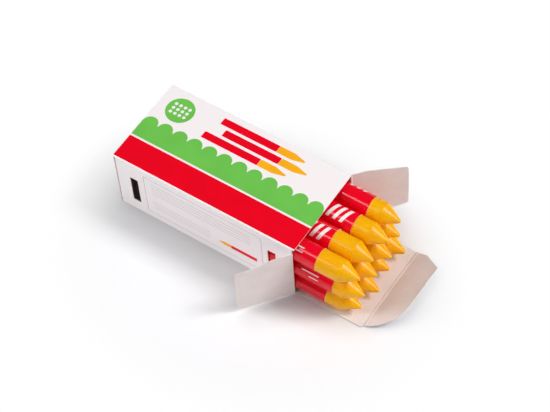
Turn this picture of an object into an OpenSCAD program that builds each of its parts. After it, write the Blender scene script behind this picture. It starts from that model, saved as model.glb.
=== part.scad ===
// A folding paperboard carton with twelve round marking crayons, opened at one end.
// Millimetres. The origin is the centre of the carton's underside, +X points out of
// the open end and +Z points up. "Near" is the -Y side, which has two windows.

/* [Crayon] */
// Diameter of the bare wax stick
wax_d = 12.5; // [10:0.1:16]
// Length of a crayon from its flat heel to its tip
crayon_len = 109; // [90:0.5:130]
// Length of the cone at the tip
cone_len = 10; // [7:0.5:13]
// Radius of the blunt tip
tip_r = 1.1; // [0.6:0.1:2]
// Bevel around the flat heel
heel_bevel = 0.6; // [0.2:0.1:1.2]

/* [Paper sleeve] */
// Thickness of the sleeve's paper
paper_t = 0.15; // [0.1:0.01:0.2]
// Room for the glue between the wax and the paper
glue_gap = 0.02; // [0.01:0.01:0.04]
// Width of the glued lap that runs along the sleeve
lap_w = 5; // [3:0.5:6]
// Bare wax left at the heel
heel_bare = 1.5; // [1:0.5:6]

/* [Layout in the carton] */
// Gap between neighbouring columns of crayons
column_gap = 0.65; // [0.5:0.05:1.2]
// Gap between neighbouring rows of crayons
row_gap = 0.15; // [0.1:0.05:0.6]
// Gap between the bottom row and the carton's floor
floor_gap = 0.15; // [0.1:0.05:0.5]
// Gap between the outer columns and what lines the side walls
wall_gap = 0.3; // [0.2:0.05:1]
// How far the crayons are drawn out of the mouth, on average
drawn_out = 35.5; // [30:0.5:37]

/* [Board] */
// Thickness of the paperboard
board_t = 0.45; // [0.35:0.05:0.5]
// Clearance between layers of board that lie on each other
layer_gap = 0.2; // [0.15:0.05:0.4]
// Outside radius of the four long creases
crease_r = 0.7; // [0.6:0.05:1]
// Half of the slit left along a crease between a panel and its flap
crease_gap = 0.15; // [0.1:0.01:0.2]
// Width of the glue flap
glue_flap_w = 12; // [8:0.5:18]
// How far each end of the glue flap stays clear of the tongue's full width
glue_flap_inset = 2.5; // [2:0.5:8]

/* [Windows] */
// Width of a window along the carton
window_w = 5; // [4.5:0.5:8]
// Height of a window
window_h = 20; // [12:0.5:24]
// Height of a window's sill above the underside
window_sill = 9; // [6:0.5:12]
// Distance from the carton's front end to its window
front_window_inset = 11.5; // [6:0.5:14]
// Distance from the carton's rear end to its window
rear_window_inset = 10; // [6:0.5:14]

/* [Lid and tongue] */
// Clearance between the tucked tongue and the top panel
tuck_gap = 0.4; // [0.35:0.05:0.6]
// How far the lid is narrower than the carton on each side
lid_inset = 0.6; // [0.5:0.05:1]
// Depth of the tongue from its crease to its free edge
tongue_depth = 17; // [12:0.5:17]
// Radius of the tongue's near corner
tongue_near_r = 21.5; // [18:0.5:24]
// How far the near corner's arc starts from the middle of the free edge
tongue_near_y = 4.5; // [2:0.5:5]
// Depth at which the tongue's far corner starts to slant
tongue_far_s = 6.5; // [4:0.5:9]
// How far the slant brings in the tongue's far corner
tongue_far_in = 6; // [3:0.5:9]
// How far the front tongue stands up from the flat lid
tongue_angle = 20; // [0:1:80]

/* [Dust flaps] */
// Length of a dust flap
flap_len = 31; // [27:0.5:34]
// Clearance between a dust flap and the long creases
flap_trim = 0.6; // [0.5:0.05:1]
// How far a dust flap's foot rises along its length
foot_rise = 2; // [0.5:0.1:3]
// Length of the full-height shoulder on the far side's front flap
full_shoulder = 8; // [4:0.5:12]
// Length of the low shoulder on the other flaps
low_shoulder = 11; // [7:0.5:14]
// How far the low shoulder lies under the full height
shoulder_drop = 3; // [2.5:0.1:4]
// Length of the slant that follows the low shoulder
low_slant = 8; // [5:0.5:12]
// How far a flap's free end lies under the full height
head_drop = 5.3; // [4.5:0.1:7]
// How far the front flap on the near side is folded out from straight
near_flap_angle = 128; // [5:1:170]
// How far the front flap on the far side is folded out from straight
far_flap_angle = 50; // [5:1:170]

/* [Hidden] */
$fn = 64;
COLUMNS = ["a", "b", "c", "d"];
ROWS = 3;
// Each crayon's own stagger past drawn_out, by column from the near side, top row first
STAGGER = [[-0.5, 2, 0], [-1, 1, 2.5], [0, 1.5, 0], [-1.5, -2, 1.5]];
// Bare wax between each crayon's tip and its sleeve: the sleeves are rolled on by hand
TIP_BARE = [[23.5, 16, 18.5], [23, 20, 21], [19.5, 19, 20], [17, 20, 19]];
// Cut of a crease that folds up by 90 degrees, and of the rear tongue's, which folds
// further in on its way out of the mouth
FLAT_CUT = 45;
TUCK_CUT = 68;

sleeve_d = wax_d + 2 * (glue_gap + paper_t);
column_pitch = sleeve_d + column_gap;
row_pitch = sleeve_d + row_gap;
last_column = len(COLUMNS) - 1;
// Layers of board at a closed end, from outside: the lid, the far flap and the near flap
far_setback = board_t + layer_gap;
near_setback = 2 * far_setback;
end_room = 3 * far_setback;
carton_l = crayon_len + 2 * end_room + 2 * layer_gap;
carton_w = 3 * board_t + 2 * wall_gap + sleeve_d + last_column * column_pitch;
stack_h = floor_gap + sleeve_d + (ROWS - 1) * row_pitch;
carton_h = 3 * board_t + stack_h + layer_gap + tuck_gap;
lid_len = carton_h - board_t - tuck_gap;
lid_w = carton_w - 2 * lid_inset;
crease_in_r = crease_r - board_t;
full_head = carton_h - flap_trim;
// A low shoulder lets a rear flap stay under the path of the tongue as the lid swings open
low_head = full_head - shoulder_drop;
free_head = full_head - head_drop;
mitre = 2 * crease_r;
eps = 0.01;

white = "#F7F4F3";
board_grey = "#D9CCC6";
sleeve_red = "#D8001C";
wax_yellow = "#FFB000";

PANELS = ["top_panel", "bottom_panel", "near_side_panel", "far_side_panel", "glue_flap"];
CLOSURES = [
    for (side = ["front", "rear"])
        for (piece = ["lid", "tongue", "near_flap", "far_flap"])
            str(side, "_", piece)
];
CRAYONS = [
    for (column = [0:last_column])
        for (row = [0:ROWS - 1])
            for (piece = ["wax", "sleeve"])
                str("crayon_", COLUMNS[column], row + 1, "_", piece)
];

function column_y(column) =
    -carton_w / 2 + board_t + wall_gap + sleeve_d / 2 + column * column_pitch;
function row_z(row) =
    board_t + floor_gap + sleeve_d / 2 + (ROWS - 1 - row) * row_pitch;
function heel_x(column, row) =
    carton_l / 2 + drawn_out + STAGGER[column][row] - crayon_len;
// The lap points between the neighbours, where four crayons leave room for it
function lap_turn(column, row) = 45 + 90 * ((column + 2 * row) % 4);

// Carton tube

// A rectangle with true round corners, resting on the X axis
module round_rect(w, h, r) {
    translate([-w / 2 + r, 0]) square([w - 2 * r, h]);
    translate([-w / 2, r]) square([w, h - 2 * r]);
    for (x = [-w / 2 + r, w / 2 - r], y = [r, h - r])
        translate([x, y]) circle(r);
}

// Cross-section of the glued tube: one wall of board with four round creases
module tube_section() {
    difference() {
        round_rect(carton_w, carton_h, crease_r);
        translate([0, board_t])
            round_rect(carton_w - 2 * board_t, carton_h - 2 * board_t, crease_in_r);
    }
}

// One panel of the tube, cut from its neighbours along the middle of each crease
module tube_panel(mitred_edge) {
    rotate([90, 0, 90])
        linear_extrude(carton_l, center = true)
            intersection() {
                tube_section();
                polygon(mitred_edge);
            }
}

// Keeps what lies between two crease lines, each cut back at 45 degrees for its flap
module between_creases(half_len, outer) {
    rotate([90, 0, 0])
        linear_extrude(2 * carton_w, center = true)
            polygon([
                [-half_len + crease_gap - eps, outer - eps],
                [half_len - crease_gap + eps, outer - eps],
                [half_len - crease_gap - mitre, outer + mitre],
                [-half_len + crease_gap + mitre, outer + mitre],
            ]);
}

module top_panel() {
    color(white)
        tube_panel([
            [-carton_w / 2, carton_h],
            [carton_w / 2, carton_h],
            [carton_w / 2 - mitre, carton_h - mitre],
            [-carton_w / 2 + mitre, carton_h - mitre],
        ]);
}

module bottom_panel() {
    color(white)
        intersection() {
            tube_panel([
                [-carton_w / 2, 0],
                [carton_w / 2, 0],
                [carton_w / 2 - mitre, mitre],
                [-carton_w / 2 + mitre, mitre],
            ]);
            between_creases(carton_l / 2, 0);
        }
}

// A side panel on the near side (-1) or the far side (+1)
module side_panel(side, setback) {
    intersection() {
        tube_panel([
            [side * carton_w / 2, 0],
            [side * carton_w / 2, carton_h],
            [side * (carton_w / 2 - mitre), carton_h - mitre],
            [side * (carton_w / 2 - mitre), mitre],
        ]);
        rotate([side * 90, 0, 0])
            between_creases(carton_l / 2 - setback, -carton_w / 2);
    }
}

module near_side_panel() {
    color(white)
        difference() {
            side_panel(-1, near_setback);
            for (x = [
                carton_l / 2 - front_window_inset - window_w / 2,
                rear_window_inset + window_w / 2 - carton_l / 2,
            ])
                translate([
                    x,
                    -carton_w / 2,
                    window_sill + window_h / 2,
                ])
                    cube([window_w, 4 * board_t, window_h], center = true);
        }
}

module far_side_panel() {
    color(white) side_panel(1, far_setback);
}

// Glued to the inner face of the far side, with slanted ends
module glue_flap() {
    head = carton_h - board_t - crease_in_r;
    half = carton_l / 2 - tongue_far_s - glue_flap_inset;
    slant = glue_flap_w / 4;
    color(board_grey)
        translate([0, carton_w / 2 - board_t, 0])
            rotate([90, 0, 0])
                linear_extrude(board_t)
                    polygon([
                        [-half, head],
                        [half, head],
                        [half - slant, head - glue_flap_w],
                        [-half + slant, head - glue_flap_w],
                    ]);
}

// Lids, tongues and dust flaps, each laid flat along +X from its crease at the origin,
// with its outside face down

// Cuts a crease edge back, so that the piece can fold up by twice the angle of the cut
module crease_cut(width, cut) {
    rotate([90, 0, 0])
        linear_extrude(2 * width, center = true)
            polygon([
                [crease_gap - eps * tan(cut), -eps],
                [crease_gap + mitre * tan(cut), mitre],
                [-mitre, mitre],
                [-mitre, -eps],
            ]);
}

module lid_blank(cut) {
    rotate([90, 0, 0])
        linear_extrude(lid_w, center = true)
            polygon([
                [crease_gap, 0],
                [lid_len - crease_gap, 0],
                [lid_len - crease_gap - board_t * tan(cut), board_t],
                [crease_gap + board_t, board_t],
            ]);
}

// A wide arc at the near corner eases the tongue in, and the far corner is slanted
module tongue_outline() {
    intersection() {
        polygon([
            [crease_gap, -lid_w / 2],
            [tongue_depth, -lid_w / 2],
            [tongue_depth, lid_w / 2 - tongue_far_in],
            [tongue_far_s, lid_w / 2],
            [crease_gap, lid_w / 2],
        ]);
        union() {
            translate([tongue_depth - tongue_near_r, -tongue_near_y]) circle(tongue_near_r);
            translate([0, -tongue_near_y]) square([tongue_depth, lid_w]);
        }
    }
}

module tongue_blank(cut) {
    difference() {
        linear_extrude(board_t) tongue_outline();
        crease_cut(carton_w, cut);
    }
}

// The flap's height runs along Y here, from the carton's underside. Its head is level along
// a shoulder and slants down from there
module flap_blank(head, shoulder, slant) {
    slant_end = min(shoulder + slant, flap_len - flap_trim);
    difference() {
        linear_extrude(board_t)
            polygon([
                [crease_gap, flap_trim],
                [flap_len, flap_trim + foot_rise],
                [flap_len, free_head],
                [slant_end, free_head],
                [shoulder, head],
                [crease_gap, head],
            ]);
        crease_cut(2 * carton_h, FLAT_CUT);
    }
}

module low_flap_blank() {
    flap_blank(low_head, low_shoulder, low_slant);
}

// Places of the closures: the front pieces by default, the rear ones mirrored
module at_end(end) {
    mirror([end < 0 ? 1 : 0, 0, 0]) translate([carton_l / 2, 0, 0]) children();
}

module on_lid(lid_angle, fold) {
    rotate([0, -lid_angle, 0])
        translate([lid_len, 0, 0])
            rotate([0, -fold, 0])
                children();
}

// A flap on the near side, folded out by an angle from straight (-90 is shut)
module near_flap_at(angle, setback) {
    translate([-setback, -carton_w / 2, 0])
        rotate([0, 0, -angle])
            rotate([90, 0, 0])
                mirror([0, 0, 1])
                    children();
}

module far_flap_at(angle, setback) {
    mirror([0, 1, 0]) near_flap_at(angle, setback) children();
}

module front_lid() {
    color(board_grey) at_end(1) lid_blank(FLAT_CUT);
}

module front_tongue() {
    color(board_grey) at_end(1) on_lid(0, tongue_angle) tongue_blank(FLAT_CUT);
}

module front_near_flap() {
    color(board_grey)
        at_end(1) near_flap_at(near_flap_angle, near_setback) low_flap_blank();
}

module front_far_flap() {
    color(board_grey)
        at_end(1)
            far_flap_at(far_flap_angle, far_setback)
                flap_blank(full_head, full_shoulder, flap_len);
}

module rear_lid() {
    color(white) at_end(-1) rotate([0, -90, 0]) lid_blank(TUCK_CUT);
}

module rear_tongue() {
    color(white) at_end(-1) on_lid(90, 90) tongue_blank(TUCK_CUT);
}

module rear_near_flap() {
    color(board_grey) at_end(-1) near_flap_at(-90, near_setback) low_flap_blank();
}

module rear_far_flap() {
    color(board_grey) at_end(-1) far_flap_at(-90, far_setback) low_flap_blank();
}

// Crayons, each turned about its own axis with the heel at the origin and the tip up

module wax_profile() {
    r = wax_d / 2;
    shoulder = crayon_len - cone_len;
    tip_centre = crayon_len - tip_r;
    // The cone's side touches the round tip where the radius is square to it
    reach = norm([r, tip_centre - shoulder]);
    touch = acos(tip_r / reach) - atan2(tip_centre - shoulder, r);
    polygon([
        [0, 0],
        [r - heel_bevel, 0],
        [r, heel_bevel],
        [r, shoulder],
        [tip_r * cos(touch), tip_centre + tip_r * sin(touch)],
        [0, tip_centre],
    ]);
    intersection() {
        translate([0, tip_centre]) circle(tip_r);
        translate([0, tip_centre]) square(2 * tip_r);
    }
}

module crayon_at(column, row) {
    translate([heel_x(column, row), column_y(column), row_z(row)])
        rotate([0, 90, 0])
            children();
}

module crayon_wax(column, row) {
    color(wax_yellow)
        crayon_at(column, row) rotate_extrude() wax_profile();
}

// Cross-section of the paper rolled round the wax, with its edge lapped over
module sleeve_section(turn) {
    bore_r = wax_d / 2 + glue_gap;
    wrap_r = bore_r + paper_t;
    lap_angle = lap_w / (PI * sleeve_d) * 360;
    difference() {
        union() {
            circle(wrap_r);
            intersection() {
                circle(wrap_r + paper_t);
                polygon([
                    [0, 0],
                    for (side = [-1, 1])
                        sleeve_d * [cos(turn + side * lap_angle / 2), sin(turn + side * lap_angle / 2)],
                ]);
            }
        }
        circle(bore_r);
    }
}

module crayon_sleeve(column, row) {
    length = crayon_len - heel_bare - TIP_BARE[column][row];
    color(sleeve_red)
        crayon_at(column, row)
            translate([0, 0, heel_bare])
                linear_extrude(length) sleeve_section(lap_turn(column, row));
}

top_panel();
bottom_panel();
near_side_panel();
far_side_panel();
glue_flap();
front_lid();
front_tongue();
front_near_flap();
front_far_flap();
rear_lid();
rear_tongue();
rear_near_flap();
rear_far_flap();
for (column = [0:last_column])
    for (row = [0:ROWS - 1]) {
        name = str("crayon_", COLUMNS[column], row + 1);
        crayon_wax(column, row);
        crayon_sleeve(column, row);
    }
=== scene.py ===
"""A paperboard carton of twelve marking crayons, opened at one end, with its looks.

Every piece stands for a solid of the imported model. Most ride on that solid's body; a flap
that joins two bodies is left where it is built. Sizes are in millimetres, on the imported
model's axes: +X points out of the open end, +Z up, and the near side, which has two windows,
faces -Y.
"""

import logging
import math
from dataclasses import dataclass, field
from enum import Enum, IntEnum

import bpy
import numpy as np
from mathutils import Matrix


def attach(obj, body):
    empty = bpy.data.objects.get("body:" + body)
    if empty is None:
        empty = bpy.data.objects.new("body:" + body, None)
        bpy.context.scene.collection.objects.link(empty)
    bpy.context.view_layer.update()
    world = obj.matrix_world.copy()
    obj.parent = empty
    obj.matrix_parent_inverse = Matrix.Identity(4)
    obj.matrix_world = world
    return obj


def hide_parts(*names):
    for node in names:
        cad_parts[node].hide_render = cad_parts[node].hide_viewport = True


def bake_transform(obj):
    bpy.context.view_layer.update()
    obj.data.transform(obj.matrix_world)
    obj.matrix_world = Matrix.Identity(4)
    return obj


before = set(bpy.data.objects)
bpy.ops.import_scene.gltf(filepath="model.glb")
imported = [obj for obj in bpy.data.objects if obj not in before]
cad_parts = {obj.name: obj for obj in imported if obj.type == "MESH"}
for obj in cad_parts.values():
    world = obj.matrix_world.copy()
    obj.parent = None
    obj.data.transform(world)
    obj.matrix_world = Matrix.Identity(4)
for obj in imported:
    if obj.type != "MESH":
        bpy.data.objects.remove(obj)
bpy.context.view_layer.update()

LOG = logging.getLogger("crayon_carton")
MM = 0.001
Array = np.ndarray
Vector3 = tuple[float, float, float]

# Sizes shared with the part's source
CARTON_L, CARTON_W, CARTON_H = 113.3, 55.26, 40.92
BOARD = 0.45
CREASE_R = 0.7
LID_LEN, LID_W = 40.07, 54.06
FAR_SETBACK, NEAR_SETBACK = 0.65, 1.3
CRAYON_L = 109.0
# Length of the slit at each end of a tongue's crease, which locks on the flaps' shoulders, and
# half of its width
SLIT_LEN, SLIT_HALF = 8.0, 0.2
# How far before a crease the folding piece takes over from its panel
TAKEOVER = 1.2
# Width of the bell curve that shapes a crease's bead
BEAD_W = 0.45
# How far on each side of its hinge a crease's two bend points lie
BEND_REACH = 0.45
# Stations over each half of a long crease's round
ROUND_STATIONS = 6
# Value of a print field where that ink is nowhere near, and of the crease field far from any
NO_INK, NO_CREASE = -9.0, 9.0
X_AXIS, Y_AXIS, Z_AXIS = np.eye(3)


def linear(colour: str) -> tuple[float, float, float, float]:
    """Turns an sRGB hex colour into linear values.

    Args:
        colour: The colour, such as "#FFB000".

    Returns:
        Linear red, green and blue, with full opacity.
    """
    srgb = np.array([int(colour[i:i + 2], 16) for i in (1, 3, 5)]) / 255
    value = np.where(srgb <= 0.04045, srgb / 12.92, ((srgb + 0.055) / 1.055) ** 2.4)
    return (*value.tolist(), 1.0)


def add(tree: bpy.types.NodeTree, kind: str, inputs: dict, out: str | int = 0,
        **settings: object) -> bpy.types.NodeSocket:
    """Adds a node with its settings and links.

    Args:
        tree: The node tree that gets the node.
        kind: The node's type, without "ShaderNode".
        inputs: A value or a socket for each input, by its name or number.
        out: The name or number of the output that is wanted.
        settings: The node's own properties.

    Returns:
        The wanted output.
    """
    node = tree.nodes.new("ShaderNode" + kind)
    for name, value in settings.items():
        setattr(node, name, value)
    for name, value in inputs.items():
        if isinstance(value, bpy.types.NodeSocket):
            tree.links.new(value, node.inputs[name])
        else:
            node.inputs[name].default_value = value
    return node.outputs[out]


def new_tree(name: str) -> tuple[bpy.types.Material, bpy.types.NodeTree]:
    """Makes an empty node material.

    Args:
        name: The material's name.

    Returns:
        The material and its node tree.
    """
    material = bpy.data.materials.new(name)
    material.use_nodes = True
    material.node_tree.nodes.clear()
    return material, material.node_tree


def add_output(tree: bpy.types.NodeTree, shader: bpy.types.NodeSocket,
               kind: str = "Material") -> None:
    """Links a shader to the output of a material or, where the kind is "World", of a world."""
    node = tree.nodes.new("ShaderNodeOutput" + kind)
    tree.links.new(shader, node.inputs["Surface"])


def stations(breaks: list[float], step: float) -> Array:
    """Spaces stations evenly between breaks, which are stations themselves.

    Args:
        breaks: The places that must be stations, rising.
        step: The widest spacing.

    Returns:
        The stations in order.
    """
    spans = zip(breaks[:-1], breaks[1:])
    runs = [np.linspace(a, b, max(2, math.ceil((b - a) / step) + 1))[:-1] for a, b in spans]
    return np.concatenate([*runs, breaks[-1:]])


# Stations past a flap's crease, close together where the board bends
CREASE_RUN = stations([-TAKEOVER, -0.5, 0.8, 2.0], 0.1)


def smooth(share: Array) -> Array:
    """Eases a share from 0 to 1 along 3t^2 - 2t^3, and holds it outside."""
    t = np.clip(share, 0, 1)
    return t * t * (3 - 2 * t)


class Ink(Enum):
    """The printing inks, by the field that says where each one lies."""

    GREEN = "#70C652"
    RED = "#F0001F"
    YELLOW = "#FFB21A"
    GREY = "#C2BBBA"
    WHITE = "#FBF4F2"

    @property
    def field(self) -> str:
        """The field's name: above zero there is ink, in millimetres from its edge."""
        return "ink_" + self.name.lower()


class Side(IntEnum):
    """The three faces of a sheet, as the numbers of their material slots."""

    PRINT = 0
    BACK = 1
    CUT = 2


# Finishes


@dataclass(frozen=True)
class PrintedSheet:
    """Paper or board, offset printed in solid inks and varnished.

    Attributes:
        name: The material's name.
        paper, shade: The two tones of the sheet itself.
        inks: The inks in the order of printing.
        roughness: The varnish's roughness, give or take a little with the grain.
        gloss: How strongly it mirrors.
        tooth, tooth_width: Height and width of the grain, in mm.
        wave, wave_width: The same of the sheet's slow waves.
        ink_edge: How far an ink's edge fades, in mm.
        rubbed: The paper that shows where a crease is rubbed.
    """

    name: str
    paper: str
    shade: str
    inks: tuple[Ink, ...]
    roughness: float
    gloss: float
    tooth: float = 0.004
    tooth_width: float = 0.35
    wave: float = 0.02
    wave_width: float = 14.0
    ink_edge: float = 0.1
    rubbed: str = "#FFFBF8"

    def material(self) -> bpy.types.Material:
        """Builds the material.

        Each ink covers the paper where its field is above zero, with an edge as soft as
        wet ink on paper. Along a crease the ink is rubbed and cracked, so the white paper
        shows through. Two noises give the sheet's tooth and slow waves.

        Returns:
            The material.
        """
        material, tree = new_tree(self.name)
        place = add(tree, "TexCoord", {}, "Object")
        grain = add(tree, "TexNoise", {"Vector": place, "Scale": 1 / (self.tooth_width * MM),
                                       "Detail": 3.0, "Roughness": 0.6})
        slow = add(tree, "TexNoise", {"Vector": place, "Scale": 1 / (self.wave_width * MM),
                                      "Detail": 1.0})
        colour = add(tree, "MixRGB", {"Fac": grain, "Color1": linear(self.paper),
                                      "Color2": linear(self.shade)})
        # Solid ink is a touch uneven: up to 4% darker and 3% lighter with the slow waves
        tone = add(tree, "MapRange", {"Value": slow, "From Min": 0.3, "From Max": 0.7,
                                      "To Min": 0.96, "To Max": 1.03})
        for ink in self.inks:
            depth = add(tree, "Attribute", {}, "Fac", attribute_name=ink.field)
            cover = add(tree, "MapRange", {"Value": depth, "From Min": 0.0,
                                           "From Max": self.ink_edge})
            solid = add(tree, "HueSaturation", {"Value": tone, "Color": linear(ink.value)})
            colour = add(tree, "MixRGB", {"Fac": cover, "Color1": colour, "Color2": solid})
        # Rubbing ends about half a millimetre from a crease, further where the grain is high
        fold = add(tree, "Attribute", {}, "Fac", attribute_name="crease")
        frayed = add(tree, "Math", {0: grain, 1: -0.9, 2: fold}, operation="MULTIPLY_ADD")
        worn = add(tree, "MapRange", {"Value": frayed, "From Min": -0.25, "From Max": 0.1,
                                      "To Min": 0.75, "To Max": 0.0})
        colour = add(tree, "MixRGB", {"Fac": worn, "Color1": colour,
                                      "Color2": linear(self.rubbed)})
        rough = add(tree, "MapRange", {"Value": grain, "From Min": 0.3, "From Max": 0.7,
                                       "To Min": self.roughness - 0.04,
                                       "To Max": self.roughness + 0.04})
        waves = add(tree, "Bump", {"Height": slow, "Distance": self.wave * MM}, "Normal")
        bump = add(tree, "Bump", {"Height": grain, "Distance": self.tooth * MM,
                                  "Normal": waves}, "Normal")
        shader = add(tree, "BsdfPrincipled", {
            "Base Color": colour, "Roughness": rough, "IOR": 1.5, "Normal": bump,
            "Specular IOR Level": self.gloss}, "BSDF")
        add_output(tree, shader)
        return material


@dataclass(frozen=True)
class BareBoard:
    """The uncoated side or the cut edge of paperboard made from mixed fibre.

    Attributes:
        name: The material's name.
        pale, dark: The fibres' two tones.
        fibre, cloud, fleck: Widths of the fibres, the mottling and the flecks, in mm.
        stray: The flecks' colour.
    """

    name: str
    pale: str
    dark: str
    fibre: float = 0.5
    cloud: float = 9.0
    fleck: float = 1.6
    stray: str = "#A38F86"

    def material(self) -> bpy.types.Material:
        """Builds the material.

        A fine noise, stretched along the sheet as fibres lie when board is rolled, mixes
        two tones; a cloudy noise mottles them; a few darker flecks are stray fibres.

        Returns:
            The material.
        """
        material, tree = new_tree(self.name)
        place = add(tree, "TexCoord", {}, "Object")
        along = add(tree, "Mapping", {"Vector": place, "Scale": (0.35, 1.0, 1.0)})
        fibres = add(tree, "TexNoise", {"Vector": along, "Scale": 1 / (self.fibre * MM),
                                        "Detail": 5.0, "Roughness": 0.65})
        cloud = add(tree, "TexNoise", {"Vector": place, "Scale": 1 / (self.cloud * MM),
                                       "Detail": 2.0})
        both = add(tree, "Math", {0: cloud, 1: 0.6, 2: fibres}, operation="MULTIPLY_ADD")
        tone = add(tree, "MapRange", {"Value": both, "From Min": 0.55, "From Max": 1.05})
        colour = add(tree, "MixRGB", {"Fac": tone, "Color1": linear(self.dark),
                                      "Color2": linear(self.pale)})
        flecks = add(tree, "TexNoise", {"Vector": along, "Scale": 1 / (self.fleck * MM),
                                        "Detail": 2.0})
        fleck = add(tree, "MapRange", {"Value": flecks, "From Min": 0.67, "From Max": 0.75,
                                       "To Max": 0.15})
        colour = add(tree, "MixRGB", {"Fac": fleck, "Color1": colour,
                                      "Color2": linear(self.stray)})
        bump = add(tree, "Bump", {"Height": fibres, "Distance": 0.015 * MM}, "Normal")
        shader = add(tree, "BsdfPrincipled", {
            "Base Color": colour, "Roughness": 0.85, "IOR": 1.45, "Normal": bump,
            "Specular IOR Level": 0.15}, "BSDF")
        add_output(tree, shader)
        return material


@dataclass(frozen=True)
class MouldedWax:
    """Pigmented paraffin wax, cast in a smooth mould.

    Attributes:
        name: The material's name.
        body, deep: The pigment's two tones.
        bloom: The pale bloom on it.
        cloud, scuff: Widths of the pigment's clouds and of the scuffs, in mm.
        let_in: How far light goes in, in mm.
    """

    name: str = "cast_yellow_paraffin_wax"
    body: str = "#FFBB00"
    deep: str = "#FFB200"
    bloom: str = "#FFC21E"
    cloud: float = 7.0
    scuff: float = 0.6
    let_in: float = 1.6

    def material(self) -> bpy.types.Material:
        """Builds the material.

        The wax is satin and lets a little light in, so its shade sides stay warm. Slow
        clouds vary the pigment, a pale bloom lies in patches, and fine scuffs from its
        neighbours break up the highlight.

        Returns:
            The material.
        """
        material, tree = new_tree(self.name)
        place = add(tree, "TexCoord", {}, "Object")
        cloud = add(tree, "TexNoise", {"Vector": place, "Scale": 1 / (self.cloud * MM),
                                       "Detail": 3.0})
        pigment = add(tree, "MapRange", {"Value": cloud, "From Min": 0.35, "From Max": 0.65})
        colour = add(tree, "MixRGB", {"Fac": pigment, "Color1": linear(self.deep),
                                      "Color2": linear(self.body)})
        drawn = add(tree, "Mapping", {"Vector": place, "Scale": (0.25, 1.0, 1.0)})
        scuff = add(tree, "TexNoise", {"Vector": drawn, "Scale": 1 / (self.scuff * MM),
                                       "Detail": 4.0, "Roughness": 0.6})
        patch = add(tree, "MapRange", {"Value": scuff, "From Min": 0.55, "From Max": 0.75,
                                       "To Max": 0.25})
        colour = add(tree, "MixRGB", {"Fac": patch, "Color1": colour,
                                      "Color2": linear(self.bloom)})
        gloss = add(tree, "MapRange", {"Value": scuff, "From Min": 0.3, "From Max": 0.7,
                                       "To Min": 0.24, "To Max": 0.34})
        bump = add(tree, "Bump", {"Height": scuff, "Distance": 0.008 * MM}, "Normal")
        shader = add(tree, "BsdfPrincipled", {
            "Base Color": colour, "Roughness": gloss, "IOR": 1.44, "Normal": bump,
            "Specular IOR Level": 0.36, "Subsurface Weight": 0.3,
            "Subsurface Radius": (1.0, 0.45, 0.1),
            "Subsurface Scale": self.let_in * MM}, "BSDF")
        add_output(tree, shader)
        return material


# Coated carton board takes solid ink evenly and its varnish gives a broad, soft sheen
CARTON_PRINT = PrintedSheet("clay_coated_carton_board_offset_printed", "#FDF6F7", "#F9F1F2",
                            (Ink.GREEN, Ink.RED, Ink.YELLOW, Ink.GREY), 0.45, 0.1)
# Label paper is thin and glossy: sharp streaks of light, and slight wrinkles round the wax
LABEL_PRINT = PrintedSheet("gloss_label_paper_offset_printed", "#F90024", "#F00020",
                           (Ink.WHITE,), 0.16, 0.38, tooth=0.002, wave=0.03, wave_width=5.0)
# The rolled, uncoated side shows grey-pink fibre with flecks and no gloss
BOARD_INSIDE = BareBoard("uncoated_recycled_board", "#F0E7E5", "#E3D8D5")
# A die-cut edge shows the layers' fibre end on, with more contrast than the inside
BOARD_EDGE = BareBoard("die_cut_board_edge", "#EFE7E3", "#D8CCC6", fibre=0.2)
# The label's back and edge are plain white paper
PAPER_BACK = BareBoard("uncoated_white_paper", "#F3ECE8", "#E7DCD6", fibre=0.2)
# Cast wax is satin and warm in its shade, with pale scuffs where its neighbours have rubbed it
WAX = MouldedWax()


# Surfaces


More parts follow.
